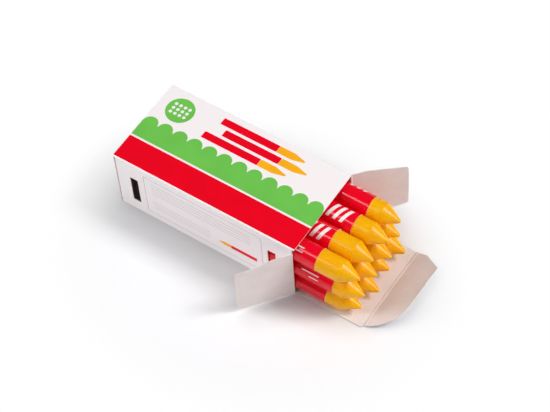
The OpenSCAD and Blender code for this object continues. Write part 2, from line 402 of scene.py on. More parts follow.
@dataclass
class Sheet:
    """A thin sheet on a grid of rows and columns.

    Attributes:
        name: The piece's name.
        face: Points of the printed face, (rows, columns, 3), in mm.
        back: The matching points of the other face.
        keep: Which cells of the grid there are; all of them if None.
        fields: Values over the grid for the finish to read.
    """

    name: str
    face: Array
    back: Array
    keep: Array | None = None
    fields: dict[str, Array] = field(default_factory=dict)

    def quads(self) -> tuple[Array, Array]:
        """Joins the grid up.

        The face's cells, the back's cells turned round, and one wall quad along each
        grid edge that has a cell on one side only. If the face's cells turn out to look
        at the back, every quad is turned round.

        Returns:
            The quads as vertex numbers, and the material slot of each.
        """
        rows, columns = self.face.shape[:2]
        keep = np.ones((rows - 1, columns - 1), bool) if self.keep is None else self.keep
        top = np.arange(rows * columns).reshape(rows, columns)
        low = top + top.size
        square = [(slice(None, -1), slice(None, -1)), (slice(1, None), slice(None, -1)),
                  (slice(1, None), slice(1, None)), (slice(None, -1), slice(1, None))]
        parts = [np.stack([top[corner] for corner in square], -1)[keep],
                 np.stack([low[corner] for corner in square[::-1]], -1)[keep]]
        room = np.pad(keep, 1)
        left, right = room[1:-1, :-1], room[1:-1, 1:]
        before, after = room[:-1, 1:-1], room[1:, 1:-1]
        along = np.stack([top[1:], top[:-1], low[:-1], low[1:]], -1)
        across = np.stack([top[:, :-1], top[:, 1:], low[:, 1:], low[:, :-1]], -1)
        walls = [along[right & ~left], along[left & ~right][:, [1, 0, 3, 2]],
                 across[after & ~before], across[before & ~after][:, [1, 0, 3, 2]]]
        quads = np.concatenate([*parts, *walls])
        slots = np.full(len(quads), int(Side.CUT))
        slots[:len(parts[0])] = Side.PRINT
        slots[len(parts[0]):2 * len(parts[0])] = Side.BACK
        step = np.cross(self.face[1:, :-1] - self.face[:-1, :-1],
                        self.face[:-1, 1:] - self.face[:-1, :-1])
        outward = np.sum(step * (self.face - self.back)[:-1, :-1])
        return (quads if outward > 0 else quads[:, ::-1]), slots

    def build(self, finishes: list[bpy.types.Material]) -> bpy.types.Object:
        """Makes the sheet's object.

        Args:
            finishes: The materials of the print, the back and the cut edge.

        Returns:
            The object, at the origin.
        """
        quads, slots = self.quads()
        points = np.concatenate([self.face.reshape(-1, 3), self.back.reshape(-1, 3)])
        used, quads = np.unique(quads, return_inverse=True)
        fields = {name: np.tile(value.ravel(), 2)[used] for name, value in self.fields.items()}
        return new_piece(self.name, points[used], quads.reshape(-1, 4).tolist(), slots,
                         finishes, fields)


def new_piece(name: str, points: Array, faces: list[list[int]], slots: Array,
              finishes: list[bpy.types.Material],
              fields: dict[str, Array]) -> bpy.types.Object:
    """Puts a computed surface into a mesh object.

    Args:
        name: The piece's name.
        points: The vertices in mm.
        faces: The faces as vertex numbers.
        slots: Each face's material slot.
        finishes: The materials in slot order.
        fields: A value per vertex for each named attribute.

    Returns:
        The object, smooth apart from edges sharper than 35 degrees.
    """
    mesh = bpy.data.meshes.new(name)
    mesh.from_pydata((points * MM).tolist(), [], faces)
    for finish in finishes:
        mesh.materials.append(finish)
    mesh.polygons.foreach_set("material_index", np.asarray(slots, np.int32))
    for label, value in fields.items():
        layer = mesh.attributes.new(label, "FLOAT", "POINT")
        layer.data.foreach_set("value", np.asarray(value, np.float32))
    mesh.shade_smooth()
    mesh.set_sharp_from_angle(angle=math.radians(35))
    mesh.validate()
    piece = bpy.data.objects.new(name, mesh)
    bpy.context.scene.collection.objects.link(piece)
    LOG.info("%s: %d faces", name, len(faces))
    return piece


def settle(piece: bpy.types.Object, node: str, body: str) -> None:
    """Puts a piece on its body in place of a solid.

    Args:
        piece: The piece.
        node: The solid it stands for.
        body: The body it moves with.
    """
    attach(piece, body)
    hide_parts(node)


def blank_fields(shape: tuple[int, ...], crease: Array | float) -> dict[str, Array]:
    """Fields of an unprinted sheet.

    Args:
        shape: The grid's shape.
        crease: Distance from the nearest crease, in mm.

    Returns:
        No ink anywhere, and the distance from the crease.
    """
    fields = {ink.field: np.full(shape, NO_INK) for ink in Ink}
    fields["crease"] = np.broadcast_to(crease, shape).copy()
    return fields


def disc(x: Array, y: Array, centre: tuple[float, float], radius: float) -> Array:
    """Depth inside a disc: its radius less the distance from its centre."""
    return radius - np.hypot(x - centre[0], y - centre[1])


def bar(x: Array, y: Array, low: tuple[float, float], high: tuple[float, float]) -> Array:
    """Depth inside a rectangle: the least distance from its four edges."""
    return np.minimum.reduce([x - low[0], high[0] - x, y - low[1], high[1] - y])


def little_crayon(run: Array, off: Array, length: float, half: float) -> tuple[Array, Array]:
    """A plain drawing of a crayon that points along +run from 0.

    Args:
        run: Distance along the drawing.
        off: Distance from its middle line.
        length: Its whole length; the wrapper ends at 0.68 of it and the cone starts at 0.86.
        half: Half of its width.

    Returns:
        Depth inside the wrapped body, and inside the bare end, whose cone narrows to a
        fifth.
    """
    wrapped, shoulder = 0.68 * length, 0.86 * length
    body = np.minimum.reduce([run, wrapped - run, half - np.abs(off)])
    taper = half * (1 - 0.8 * np.clip((run - shoulder) / (length - shoulder), 0, 1))
    return body, np.minimum.reduce([run - wrapped, length - run, taper - np.abs(off)])


# Carton


# Print on the top panel, from the near crease's flat: the two bands, the half discs, and on the
# middle line of the white rest the dotted disc and the three drawn crayons
RED_BAND, GREEN_BAND, HALF_DISCS = (0.25, 15.4), (16.4, 27.0), 12
WHITE_MIDDLE = 42.0
BADGE, BADGE_R, DOT_PITCH, DOT_R = (-43.0, WHITE_MIDDLE), 8.2, 2.9, 0.95
DRAWN_STARTS, DRAWN_PITCH, DRAWN_LEN, DRAWN_HALF = (-24.0, -15.0, -20.0), 6.2, 52.0, 2.3
# Print on the near side, from the lower crease's flat: the frame, the ruled lines, which are
# short below a height, and the heel and size of the little crayon
FRAME_LOW, FRAME_HIGH = (-37.3, 5.0), (36.6, 35.5)
RULES = (31.5, 29.0, 26.5, 24.0, 16.0, 13.5, 11.0)
RULE_START, LONG_END, SHORT_END, SHORT_BELOW = -33.0, 30.0, 4.0, 19.0
SIDE_HEEL, SIDE_LEN, SIDE_HALF = (33.0, 12.5), 24.0, 1.5
# Half of a printed line's width, and a length past both ends of the carton
LINE, PAST_ENDS = 0.22, 99.0


class Artwork(Enum):
    """What is printed on a panel: plain shapes in the carton's colours."""

    PLAIN = "plain"
    TOP = "top"
    NEAR_SIDE = "near side"

    def fields(self, x: Array, up: Array, crease: Array) -> dict[str, Array]:
        """Works out where the inks lie.

        Args:
            x: Distance along the carton from its middle.
            up: Distance across the panel from its first crease's flat.
            crease: Distance from the nearest crease.

        Returns:
            The panel's fields.
        """
        fields = blank_fields(x.shape, crease)
        if self is Artwork.TOP:
            fields.update(self.top(x, up))
        if self is Artwork.NEAR_SIDE:
            fields.update(self.near_side(x, up))
        return fields

    @staticmethod
    def top(x: Array, up: Array) -> dict[str, Array]:
        """Two bands, a row of half discs, three drawn crayons and a disc of dots.

        A straight red band lies along the near crease and a green one beside it, with a
        half disc on its far edge every 9.4 mm. The white rest has three crayons side by
        side and a green disc with four by three white dots.

        Args:
            x: Distance along the carton.
            up: Distance from the near crease.

        Returns:
            The inks' fields.
        """
        red, green = (bar(x, up, (-PAST_ENDS, low), (PAST_ENDS, high))
                      for low, high in (RED_BAND, GREEN_BAND))
        pitch = CARTON_L / HALF_DISCS
        half_disc = disc(np.mod(x, pitch), up, (pitch / 2, GREEN_BAND[1]), pitch / 2 - 0.25)
        badge = disc(x, up, BADGE, BADGE_R)
        half = DOT_PITCH / 2
        dot_x = np.mod(x - BADGE[0], DOT_PITCH) - half
        dot_y = np.mod(up - BADGE[1] + half, DOT_PITCH) - half
        dots = np.minimum(DOT_R - np.hypot(dot_x, dot_y),
                          bar(x - BADGE[0], up - BADGE[1], (-4 * half, -3 * half),
                              (4 * half, 3 * half)))
        green = np.maximum.reduce([green, half_disc, np.minimum(badge, -dots)])
        lane = np.clip(np.round((up - WHITE_MIDDLE) / DRAWN_PITCH), -1, 1)
        start = np.choose((lane + 1).astype(int), DRAWN_STARTS)
        body, tip = little_crayon(x - start, up - WHITE_MIDDLE - DRAWN_PITCH * lane, DRAWN_LEN,
                                  DRAWN_HALF)
        red = np.maximum(red, body)
        return {Ink.GREEN.field: green, Ink.RED.field: red, Ink.YELLOW.field: tip}

    @staticmethod
    def near_side(x: Array, up: Array) -> dict[str, Array]:
        """A thin frame between the windows, plain ruled lines and one little crayon.

        Args:
            x: Distance along the carton.
            up: Distance from the lower crease's flat.

        Returns:
            The inks' fields.
        """
        frame_line = LINE - np.abs(bar(x, up, FRAME_LOW, FRAME_HIGH))
        rule = np.max([LINE - np.abs(up - height) for height in RULES], axis=0)
        end = np.where(up > SHORT_BELOW, LONG_END, SHORT_END)
        rule = np.minimum.reduce([rule, x - RULE_START, end - x])
        body, tip = little_crayon(SIDE_HEEL[0] - x, up - SIDE_HEEL[1], SIDE_LEN, SIDE_HALF)
        return {Ink.GREY.field: np.maximum(frame_line, rule), Ink.RED.field: body,
                Ink.YELLOW.field: tip}


@dataclass
class Panel:
    """One side of the carton's tube, with half of the round crease at each edge.

    Attributes:
        node: The solid it stands for.
        start: The flat part's first edge in the cross-section, (y, z).
        end: Its last edge.
        outside: The way its printed face looks, (y, z).
        hinge_x: How far from the middle its two end creases lie.
        folds: Whether a flap takes over at the rear and at the front.
        artwork: What is printed on it.
        bow: How far its middle bulges.
        windows: The cut-outs, each (low x, high x, low up, high up).
        step: The grid's widest spacing.
    """

    node: str
    start: tuple[float, float]
    end: tuple[float, float]
    outside: tuple[float, float]
    hinge_x: float
    folds: tuple[bool, bool]
    artwork: Artwork = Artwork.PLAIN
    bow: float = 0.0
    windows: tuple[tuple[float, float, float, float], ...] = ()
    step: float = 2.0

    def sheet(self) -> Sheet:
        """Carries the cross-section along the carton.

        The section is an eighth of a turn, a straight run and another eighth. The bow is
        a parabola both ways that is nil at the creases. Cells in a window, and cells
        that a flap's own crease strip fills, are left out.

        Returns:
            The panel's sheet.
        """
        start, end, normal = map(np.array, (self.start, self.end, self.outside))
        wide = float(np.linalg.norm(end - start))
        way = (end - start) / wide
        arc = CREASE_R * math.pi / 4
        ups = [0.0, wide, *(w for window in self.windows for w in window[2:])]
        strip = self.hinge_x - TAKEOVER
        xs = [-self.hinge_x, -strip, strip, self.hinge_x]
        xs += [w for window in self.windows for w in window[:2]]
        if self.artwork is Artwork.NEAR_SIDE:
            lines = np.array([*RULES, FRAME_LOW[1], FRAME_HIGH[1]])
            ups += [*(lines - LINE), *lines, *(lines + LINE)]
            lines = np.array([FRAME_LOW[0], FRAME_HIGH[0]])
            xs += [*(lines - LINE), *lines, *(lines + LINE)]
        up = np.concatenate([np.linspace(-arc, 0, ROUND_STATIONS)[:-1],
                             stations(sorted(set(ups)), self.step),
                             np.linspace(wide, wide + arc, ROUND_STATIONS)[1:]])
        x = stations(sorted(set(xs)), self.step)
        turn = (np.minimum(up, 0) + np.maximum(up - wide, 0)) / CREASE_R
        out = np.cos(turn)[:, None] * normal + np.sin(turn)[:, None] * way
        section = start + np.clip(up, 0, wide)[:, None] * way + CREASE_R * (out - normal)
        share = np.clip(up / wide, 0, 1)
        bulge = self.bow * np.outer(1 - (x / self.hinge_x) ** 2, 4 * share * (1 - share))
        lift = bulge[..., None] * normal
        grid_x, grid_up = np.meshgrid(x, up, indexing="ij")
        face = np.dstack([grid_x, section + lift])
        back = np.dstack([grid_x, section - BOARD * out + lift])
        mid_x, mid_up = (x[1:] + x[:-1])[:, None] / 2, (up[1:] + up[:-1])[None] / 2
        flat = (mid_up > 0) & (mid_up < wide)
        gone = flat & ((mid_x < -strip) & self.folds[0] | (mid_x > strip) & self.folds[1])
        for low_x, high_x, low_up, high_up in self.windows:
            gone |= ((mid_x > low_x) & (mid_x < high_x)
                     & (mid_up > low_up) & (mid_up < high_up))
        crease = np.minimum(np.abs(grid_up + arc), np.abs(wide + arc - grid_up))
        fields = self.artwork.fields(grid_x, grid_up, crease)
        return Sheet(self.node + "_board", face, back, ~gone, fields)


@dataclass(frozen=True)
class Fold:
    """A crease, seen along its own line.

    Attributes:
        hinge: A point where the two printed faces would meet.
        ahead: The way from the panel towards the crease.
        outside: The way the panel's printed face looks.
        angle: How far the flap is folded, in degrees; positive towards the inside.
        radius: The printed face's bend.
    """

    hinge: Vector3
    ahead: Vector3
    outside: Vector3
    angle: float
    radius: float = CREASE_R

    def turned(self, share: Array) -> tuple[Array, Array]:
        """The sheet's way ahead and its normal after a share of the fold.

        Args:
            share: The share of the fold's angle.

        Returns:
            Both directions, turned about the crease's line.
        """
        turn = np.radians(self.angle) * np.asarray(share, float)[..., None]
        ahead, outside = np.array(self.ahead), np.array(self.outside)
        return (np.cos(turn) * ahead - np.sin(turn) * outside,
                np.cos(turn) * outside + np.sin(turn) * ahead)

    def path(self, run: Array) -> tuple[Array, Array]:
        """The printed face's line through the crease.

        Straight up to the bend, then a round bend that touches both faces, then straight
        along the folded direction.

        Args:
            run: Distance past the crease, negative on the panel.

        Returns:
            Points and normals.
        """
        reach = self.radius * math.tan(math.radians(abs(self.angle)) / 2) + 1e-6
        ahead, normal = self.turned(np.clip((run + reach) / (2 * reach), 0, 1))
        bend = math.copysign(self.radius, self.angle)
        centre = (np.array(self.hinge) - reach * np.array(self.ahead)
                  - bend * np.array(self.outside))
        beyond = np.minimum(run + reach, 0) + np.maximum(run - reach, 0)
        return centre + bend * normal + beyond[:, None] * ahead, normal

    def blend_points(self, gap: float) -> tuple[Vector3, Vector3]:
        """Two points on either side of the hinge, along the middle of the bend.

        Args:
            gap: How far each lies from the hinge, along the middle of the bend.

        Returns:
            Start and end in metres.
        """
        middle = self.turned(np.array(0.5))[0]
        hinge = np.array(self.hinge)
        return tuple((hinge - gap * middle) * MM), tuple((hinge + gap * middle) * MM)


@dataclass
class Flap:
    """A lid, tongue or dust flap that is creased to its panel.

    Attributes:
        node: The solid it stands for.
        fold: The crease that joins it to its panel.
        across: The way along the crease.
        run: Stations past the crease.
        low: The lower outline at each station.
        high: The upper outline.
        bodies: The panel's body and the flap's own; one if the flap doesn't move.
        curl: How far the free end curls towards the inside.
        bead: Height of the crease's bead on the inside.
        slit: Length of the cut at each end of the crease.
        unworn: How much further off its crease counts as, where rubbing is worked out.
        cells: How many cells the grid has across at least.
    """

    node: str
    fold: Fold
    across: Array
    run: Array
    low: Array
    high: Array
    bodies: tuple[str, ...]
    curl: float = 0.0
    bead: float = 0.3
    slit: float = 0.0
    unworn: float = 0.3
    cells: int = 32

    def sheet(self) -> Sheet:
        """Carries the outline's two edges along the crease's path.

        A point is a share of the way between the two edges. The curl grows with the
        square of the run and is greatest in the middle of the width. The board is
        thicker by a bell curve 0.45 mm wide at the crease, which is the bead that the
        creasing rule leaves. A slit's cells are left out.

        Returns:
            The flap's sheet.
        """
        points, normals = self.fold.path(self.run)
        cut = self.slit / LID_W
        share = stations(sorted({0.0, cut, 1 - cut, 1.0}), 1 / self.cells)
        width = self.low[:, None] + (self.high - self.low)[:, None] * share
        far = np.clip(self.run / self.run[-1], 0, 1) ** 2
        curl = -self.curl * far[:, None] * (0.6 + 1.6 * share * (1 - share))
        thick = BOARD + self.bead * np.exp(-(self.run / BEAD_W) ** 2)
        face = (points[:, None] + width[..., None] * self.across
                + curl[..., None] * normals[:, None])
        back = face - (thick[:, None] * normals)[:, None]
        crease = np.abs(self.run)[:, None] + self.unworn
        mid_run, mid_share = (self.run[1:] + self.run[:-1]) / 2, (share[1:] + share[:-1]) / 2
        slits = np.outer(np.abs(mid_run) < SLIT_HALF, np.abs(mid_share - 0.5) > 0.5 - cut)
        return Sheet(self.node + "_board", face, back, ~slits,
                     blank_fields(width.shape, crease))


class Shoulder(Enum):
    """A dust flap's head: where its shoulder ends, where its slant ends, the shoulder's drop."""

    FULL = (8.0, 29.0, 0.0)
    LOW = (11.0, 19.0, 3.0)


@dataclass
class Carton:
    """The folded carton: four panels, a glue flap, and lids, tongues and dust flaps.

    Attributes:
        near_angle: How far the near front dust flap is folded out, in degrees.
        far_angle: The same of the far one.
        tongue_angle: How far the front tongue is folded up.
        front_window, rear_window: Where a window starts and ends, from its end of the carton.
        window_z: The windows' foot and head.
        top_bow, side_bow: How far the middles of the top and of the two sides bulge.
        print_step: The grid's widest spacing under print.
        flap_len: A dust flap's length.
        flap_corner: The round at its free corners.
        flap_trim: How far its head and foot stay inside the carton's.
        flap_rise: How far its foot rises towards its free end.
        free_drop: How far its head is down at its free end.
        tongue_depth: A tongue's depth.
        arc_r: The arc of a tongue's near end.
        arc_y: How far to the near side the arc's centre lies.
        slant: Where a tongue's far end starts to slant, and how far it slants in.
        out_r: The bend of a crease that is folded out.
        glue_half, glue_slant, glue_depth: Half of the glue flap's length, its ends' slant and
            its depth.
    """

    near_angle: float = 128.0
    far_angle: float = 50.0
    tongue_angle: float = 20.0
    front_window: tuple[float, float] = (11.5, 16.5)
    rear_window: tuple[float, float] = (10.0, 15.0)
    window_z: tuple[float, float] = (9.0, 29.0)
    top_bow: float = 0.2
    side_bow: float = 0.3
    print_step: float = 0.75
    flap_len: float = 31.0
    flap_corner: float = 1.6
    flap_trim: float = 0.6
    flap_rise: float = 2.0
    free_drop: float = 5.2
    tongue_depth: float = 17.0
    arc_r: float = 21.5
    arc_y: float = 4.5
    slant: tuple[float, float] = (6.5, 6.0)
    out_r: float = 0.2
    glue_half: float = 47.65
    glue_slant: float = 3.0
    glue_depth: float = 12.0

    def panels(self) -> list[Panel]:
        """Lists the tube's four panels.

        Returns:
            The panels: top, near side, far side and bottom.
        """
        half_l, half_w, r = CARTON_L / 2, CARTON_W / 2, CREASE_R
        near_x, far_x = half_l - NEAR_SETBACK, half_l - FAR_SETBACK
        front, rear = self.front_window, self.rear_window
        foot_head = [z - r for z in self.window_z]
        windows = ((half_l - front[1], half_l - front[0], *foot_head),
                   (rear[0] - half_l, rear[1] - half_l, *foot_head))
        return [
            Panel("top_panel", (-half_w + r, CARTON_H), (half_w - r, CARTON_H), (0, 1), half_l,
                  (False, False), Artwork.TOP, self.top_bow, step=self.print_step),
            Panel("near_side_panel", (-half_w, r), (-half_w, CARTON_H - r), (-1, 0), near_x,
                  (True, True), Artwork.NEAR_SIDE, self.side_bow, windows, self.print_step),
            Panel("far_side_panel", (half_w, CARTON_H - r), (half_w, r), (1, 0), far_x,
                  (True, True), bow=self.side_bow),
            Panel("bottom_panel", (half_w - r, 0), (-half_w + r, 0), (0, -1), half_l,
                  (True, True)),
        ]

    def glue_flap(self) -> Sheet:
        """The strip glued behind the far side: straight runs between two slanted ends.

        Returns:
            The strip's sheet.
        """
        down = np.linspace(0, 1, 13)
        x = np.linspace(-1, 1, 41)[:, None] * (self.glue_half - self.glue_slant * down)
        z = np.broadcast_to(CARTON_H - CREASE_R - self.glue_depth * down, x.shape)
        face = np.dstack([x, np.full(x.shape, CARTON_W / 2 - BOARD), z])
        return Sheet("glue_flap_board", face, face - BOARD * Y_AXIS,
                     fields=blank_fields(x.shape, NO_CREASE))

    def dust_flap(self, node: str, fold: Fold, bodies: tuple[str, ...], shoulder: Shoulder,
                  curl: float) -> Flap:
        """A dust flap: its foot rises, and its head slants down past a shoulder.

        Args:
            node: The solid it stands for.
            fold: Its crease.
            bodies: The bodies that it joins.
            shoulder: The form of its head.
            curl: How far its free end curls.

        Returns:
            The flap.
        """
        level, slanted, drop = shoulder.value
        corner, straight = self.flap_corner, self.flap_len - self.flap_corner
        ease = np.sin(np.linspace(0.15, math.pi / 2, 8))
        run = np.concatenate([CREASE_RUN,
                              stations([CREASE_RUN[-1], level, slanted, straight], 1.0)[1:],
                              straight + corner * ease])
        drops = [drop + 0.1, drop, drop, self.free_drop, self.free_drop + 0.1]
        high = np.interp(run, [0, 0.5, level, slanted, self.flap_len],
                         CARTON_H - self.flap_trim - np.array(drops))
        high = np.where(run < 0, CARTON_H - CREASE_R, high)
        low = np.interp(run, [0, 0.5, self.flap_len],
                        [CREASE_R, self.flap_trim, self.flap_trim + self.flap_rise])
        past = np.clip((run - straight) / corner, 0, 1)
        trim = corner * (1 - np.sqrt(1 - past ** 2))
        return Flap(node, fold, Z_AXIS, run, low + trim, high - trim, bodies, curl)

    def lid(self, node: str, fold: Fold, bodies: tuple[str, ...]) -> Flap:
        """A lid: a plain rectangle from the bottom panel's crease to the tongue's.

        Args:
            node: The solid it stands for.
            fold: Its crease.
            bodies: The bodies that it joins.

        Returns:
            The flap.
        """
        run = np.concatenate([CREASE_RUN,
                              stations([CREASE_RUN[-1], LID_LEN - TAKEOVER], 2.0)[1:]])
        half = np.interp(run, [0, 0.5], [CARTON_W / 2 - CREASE_R, LID_W / 2])
        return Flap(node, fold, Y_AXIS, run, -half, half, bodies)

    def tongue(self, node: str, fold: Fold, bodies: tuple[str, ...], curl: float) -> Flap:
        """A tongue: an arc on the near side and a slant on the far side.

        The strip before its crease widens evenly to the lid's width.

        Args:
            node: The solid it stands for.
            fold: Its crease.
            bodies: The bodies that it joins.
            curl: How far its free edge curls.

        Returns:
            The flap.
        """
        deep = self.tongue_depth
        ease = np.sin(np.linspace(math.asin(CREASE_RUN[-1] / deep), math.pi / 2, 30))
        run = np.concatenate([CREASE_RUN, deep * ease[1:]])
        inside = np.clip(run, 0, deep) - deep + self.arc_r
        arc = np.maximum(-self.arc_y - np.sqrt(self.arc_r ** 2 - inside ** 2), -LID_W / 2)
        strip = np.interp(run, [-TAKEOVER, -SLIT_HALF],
                          [-LID_W / 2, arc[np.searchsorted(run, 0.0)]])
        low = np.where(run < -SLIT_HALF, strip, arc)
        start, in_by = self.slant
        high = LID_W / 2 - in_by * np.clip((run - start) / (deep - start), 0, 1)
        return Flap(node, fold, Y_AXIS, run, low, high, bodies, curl, slit=SLIT_LEN)

    def flaps(self) -> list[Flap]:
        """Lists every lid, tongue and dust flap, where the photograph shows it.

        Returns:
            The flaps of the front end, then those of the rear.
        """
        half_l, half_w = CARTON_L / 2, CARTON_W / 2
        near_x, far_x = half_l - NEAR_SETBACK, half_l - FAR_SETBACK
        return [
            self.lid("front_lid", Fold((half_l, 0, 0), (1, 0, 0), (0, 0, -1), 0.0),
                     ("carton", "front_lid")),
            self.tongue("front_tongue", Fold((half_l + LID_LEN, 0, 0), (1, 0, 0), (0, 0, -1),
                                             self.tongue_angle),
                        ("front_lid", "front_tongue"), curl=0.5),
            self.dust_flap("front_near_flap", Fold((near_x, -half_w, 0), (1, 0, 0), (0, -1, 0),
                                                   -self.near_angle, self.out_r),
                           ("carton", "front_near_flap"), Shoulder.LOW, curl=0.5),
            self.dust_flap("front_far_flap", Fold((far_x, half_w, 0), (1, 0, 0), (0, 1, 0),
                                                  -self.far_angle, self.out_r),
                           ("carton", "front_far_flap"), Shoulder.FULL, curl=1.0),
            self.lid("rear_lid", Fold((-half_l, 0, 0), (-1, 0, 0), (0, 0, -1), 90.0),
                     ("carton", "rear_lid")),
            self.tongue("rear_tongue", Fold((-half_l, 0, LID_LEN), (0, 0, 1), (-1, 0, 0), 90.0),
                        ("rear_lid", "rear_tongue"), curl=0.0),
            self.dust_flap("rear_near_flap", Fold((-near_x, -half_w, 0), (-1, 0, 0), (0, -1, 0),
                                                  90.0), ("carton",), Shoulder.LOW, curl=0.0),
            self.dust_flap("rear_far_flap", Fold((-far_x, half_w, 0), (-1, 0, 0), (0, 1, 0),
                                                 90.0), ("carton",), Shoulder.LOW, curl=0.0),
        ]

    def build(self) -> None:
        """Builds the carton's pieces and puts each on its body.

        A flap that joins two bodies is left where it is built.
        """
        finishes = [finish.material() for finish in (CARTON_PRINT, BOARD_INSIDE, BOARD_EDGE)]
        for panel in self.panels():
            piece = panel.sheet().build(finishes)
            settle(piece, panel.node, "carton")
        settle(self.glue_flap().build(finishes), "glue_flap", "carton")
        for flap in self.flaps():
            piece = flap.sheet().build(finishes)
            if len(flap.bodies) == 2:
                start, end = flap.fold.blend_points(BEND_REACH)
                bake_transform(piece)
                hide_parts(flap.node)
            else:
                settle(piece, flap.node, flap.bodies[0])


# Crayons


# The two thin lines on a sleeve, each from its low to its high corner: distance back from the
# front edge, and distance round from the side opposite the bars; then their edges and middles
THIN_LINES = (((8, -1.5), (19, -0.8)), ((8, 0.8), (14, 1.5)))
LINE_STATIONS = (-1.5, -1.15, -0.8, 0.8, 1.15, 1.5)
# Distances back from a sleeve's front edge at which its grid has a station
PRINT_STATIONS = (24.0, 19.0, 14.0, 8.0)
# A stick's heel as (distance, radius): a flat end with a rounded bevel
HEEL = ((0, 0), (0, 3), (0, 5.3), (0.04, 5.55), (0.2, 5.85), (0.42, 6.1), (0.68, 6.22), (1, 6.25))


